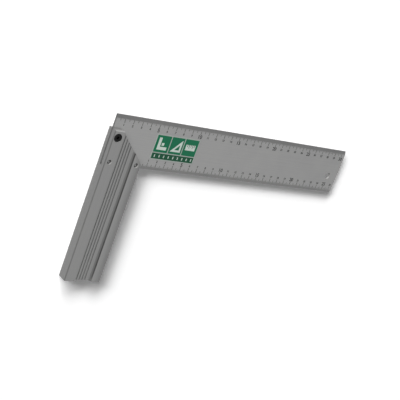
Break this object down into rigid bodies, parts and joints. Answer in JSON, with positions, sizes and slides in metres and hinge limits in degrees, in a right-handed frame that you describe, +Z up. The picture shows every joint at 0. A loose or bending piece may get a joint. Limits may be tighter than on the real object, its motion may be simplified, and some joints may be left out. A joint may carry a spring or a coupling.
{
  "type": "try and mitre square",
  "caption": "Flat L-shaped marking square: a bevelled, graduated metal blade clamped in a slotted extruded stock with a mitred end, for setting out right angles and mitres.",
  "frame": {"origin": "middle of the outline, on the surface that the square lies on", "axes": "+X along the blade towards its free end, +Y from the stock towards the blade's outer edge, +Z up from the surface, out of the graduated face"},
  "size_m": [0.305, 0.17, 0.012],
  "materials": {
    "stock_aluminium": "matt anodised extrusion with fine lines along its length",
    "blade_aluminium": "satin, brushed along its length, with dark graduations",
    "black_steel": "black oxide",
    "pin_steel": "ground",
    "label_film": "printed film"
  },
  "bodies": {
    "root": {"stock": "stock_aluminium", "blade": "blade_aluminium", "corner_screw": "black_steel", "outer_lock_pin": "pin_steel", "inner_lock_pin": "pin_steel", "label": "label_film"}
  },
  "joints": []
}
